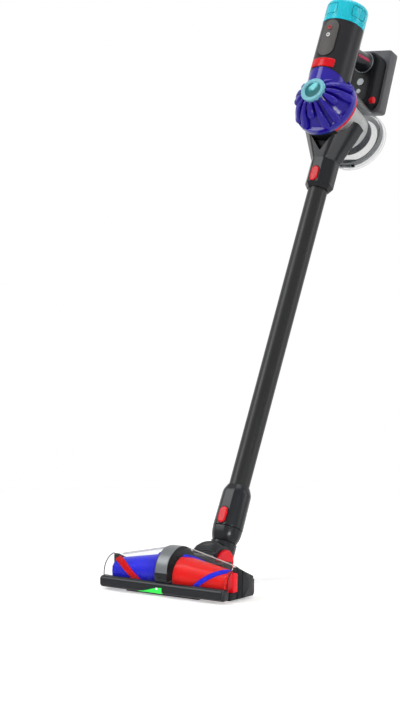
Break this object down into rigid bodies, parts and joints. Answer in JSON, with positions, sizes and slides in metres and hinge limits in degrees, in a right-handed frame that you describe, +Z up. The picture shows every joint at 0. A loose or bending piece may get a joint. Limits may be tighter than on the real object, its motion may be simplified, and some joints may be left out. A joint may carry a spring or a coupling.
{
  "type": "cordless stick vacuum",
  "caption": "Cordless stick vacuum with a handheld cyclone machine, a clear dust bin, a rear battery, a straight wand and a hinged floor head with tapered brush cones under clear covers.",
  "frame": {"origin": "middle of the floor head's sole pad, on the floor", "axes": "+Z up, -Y to the front of the floor head, +X to the right seen from the handle; the wand leans back towards +Y"},
  "size_m": [0.26, 0.7098, 1.0297],
  "materials": {
    "charcoal": "satin moulded plastic",
    "dark_base": "matte moulded plastic",
    "silver": "satin silver paint",
    "red": "glossy red plastic",
    "blue": "glossy blue plastic",
    "red_pile": "short dense pile",
    "blue_pile": "short dense pile",
    "clear": "clear plastic",
    "lens": "clear lens",
    "black_tube": "satin black coating",
    "purple": "satin purple plastic",
    "teal": "satin teal plastic",
    "teal_bowl": "glossy dark teal plastic",
    "filter_cloth": "pleated filter cloth",
    "turquoise": "translucent turquoise plastic",
    "mesh_steel": "fine perforated steel",
    "battery_grey": "matte grey plastic",
    "panel_grey": "matte grey plastic",
    "steel": "plain steel",
    "rubber": "matte rubber",
    "white_nylon": "nylon"
  },
  "bodies": {
    "machine": {"neck_socket": "charcoal", "wand_collar": "charcoal", "wand_tube": "black_tube", "inlet_neck": "charcoal", "dust_bin": "clear", "door_pin": "steel", "bin_ring": "red", "shroud": "mesh_steel", "shroud_foot": "charcoal", "cyclone_pack": "purple", "motor_shell": "charcoal", "fan_motor": "steel", "control_panel": "panel_grey", "hand_grip": "charcoal", "grip_trims": "red", "battery_dock": "charcoal", "dock_discs": "silver", "battery_case": "battery_grey", "battery_cells": "steel"},
    "neck": {"neck_drum": "charcoal"},
    "floor_head": {"head_base": "dark_base", "bay_lid": "dark_base", "head_screws": "steel", "front_bar": "charcoal", "light_lens": "lens", "sole_strip": "dark_base", "end_cap_left": "red", "end_cap_right": "red", "end_housing_left": "charcoal", "end_housing_right": "charcoal", "cover_left": "clear", "cover_right": "clear", "drive_arch": "silver", "drive_belt": "rubber", "brush_motor": "steel", "yoke_left": "red", "yoke_right": "red", "pivot_pin": "steel"},
    "cone_left": {"brush_cone_left": "blue", "brush_strips_left": "red_pile"},
    "cone_right": {"brush_cone_right": "red", "brush_strips_right": "blue_pile"},
    "hub": {"drive_hub": "white_nylon"},
    "pulley": {"motor_pulley": "steel"},
    "left_roller": {"wheel_left": "rubber"},
    "right_roller": {"wheel_right": "rubber"},
    "lower_release": {"collar_button": "red"},
    "upper_release": {"inlet_button": "red"},
    "power_key": {"power_button": "red"},
    "boost_key": {"boost_button": "silver"},
    "battery_release": {"battery_button": "red"},
    "bin_release": {"bin_lever": "red"},
    "door": {"bin_door": "clear"},
    "front_filter": {"cap_ring": "teal", "cap_bowl": "teal_bowl", "filter_sleeve": "filter_cloth"},
    "rear_filter": {"rear_cap": "turquoise", "rear_media": "filter_cloth"},
    "fan": {"fan_impeller": "white_nylon"}
  },
  "joints": [
    {"name": "neck_swivel", "type": "hinge", "parent": "machine", "child": "neck", "pos_m": [0, 0.08272, 0.06729], "axis": [0, 0.4384, 0.8988], "range_deg": [-60, 60]},
    {"name": "head_pitch", "type": "hinge", "parent": "neck", "child": "floor_head", "pos_m": [0, 0.0448, 0.0395], "axis": [1, 0, 0], "range_deg": [-24, 40]},
    {"name": "cone_right_spin", "type": "hinge", "parent": "floor_head", "child": "cone_right", "pos_m": [0.01579, -0.061, 0.0346], "axis": [0.9969, 0, -0.0788], "continuous": true},
    {"name": "cone_left_spin", "type": "hinge", "parent": "floor_head", "child": "cone_left", "pos_m": [-0.01579, -0.061, 0.0346], "axis": [0.9969, 0, 0.0788], "continuous": true},
    {"name": "hub_spin", "type": "hinge", "parent": "floor_head", "child": "hub", "pos_m": [0, -0.061, 0.03428], "axis": [1, 0, 0], "continuous": true},
    {"name": "pulley_spin", "type": "hinge", "parent": "floor_head", "child": "pulley", "pos_m": [0, 0, 0.029], "axis": [1, 0, 0], "continuous": true},
    {"name": "roller_left_spin", "type": "hinge", "parent": "floor_head", "child": "left_roller", "pos_m": [-0.085, -0.006, 0.008], "axis": [1, 0, 0], "continuous": true},
    {"name": "roller_right_spin", "type": "hinge", "parent": "floor_head", "child": "right_roller", "pos_m": [0.085, -0.006, 0.008], "axis": [1, 0, 0], "continuous": true},
    {"name": "lower_button_press", "type": "slide", "parent": "machine", "child": "lower_release", "axis": [0, 0.8988, -0.4384], "range_m": [0, 0.002], "stiffness_N_per_m": 600},
    {"name": "upper_button_press", "type": "slide", "parent": "machine", "child": "upper_release", "axis": [0, 0.8988, -0.4384], "range_m": [0, 0.002], "stiffness_N_per_m": 600},
    {"name": "power_press", "type": "slide", "parent": "machine", "child": "power_key", "axis": [0, 0.8988, -0.4384], "range_m": [0, 0.001], "stiffness_N_per_m": 400},
    {"name": "boost_press", "type": "slide", "parent": "machine", "child": "boost_key", "axis": [0, 0.8988, -0.4384], "range_m": [0, 0.001], "stiffness_N_per_m": 400},
    {"name": "battery_press", "type": "slide", "parent": "machine", "child": "battery_release", "axis": [-1, 0, 0], "range_m": [0, 0.0025], "stiffness_N_per_m": 500},
    {"name": "bin_lever_slide", "type": "slide", "parent": "machine", "child": "bin_release", "axis": [0, -0.4384, -0.8988], "range_m": [0, 0.006], "stiffness_N_per_m": 500},
    {"name": "door_swing", "type": "hinge", "parent": "machine", "child": "door", "pos_m": [0, 0.47657, 0.72159], "axis": [-1, 0, 0], "range_deg": [0, 95]},
    {"name": "front_filter_slide", "type": "slide", "parent": "machine", "child": "front_filter", "axis": [0, -0.8572, 0.515], "range_m": [0, 0.07]},
    {"name": "rear_filter_twist", "type": "hinge", "parent": "machine", "child": "rear_filter", "pos_m": [0, 0.46662, 0.97986], "axis": [0, 0.4384, 0.8988], "range_deg": [0, 30]},
    {"name": "fan_spin", "type": "hinge", "parent": "machine", "child": "fan", "pos_m": [0, 0.46662, 0.97986], "axis": [0, 0.4384, 0.8988], "continuous": true}
  ],
  "couplings": [
    {"joint": "cone_left_spin", "follows": "cone_right_spin", "ratio": 1},
    {"joint": "hub_spin", "follows": "cone_right_spin", "ratio": 1},
    {"joint": "pulley_spin", "follows": "cone_right_spin", "ratio": 2.2857}
  ]
}
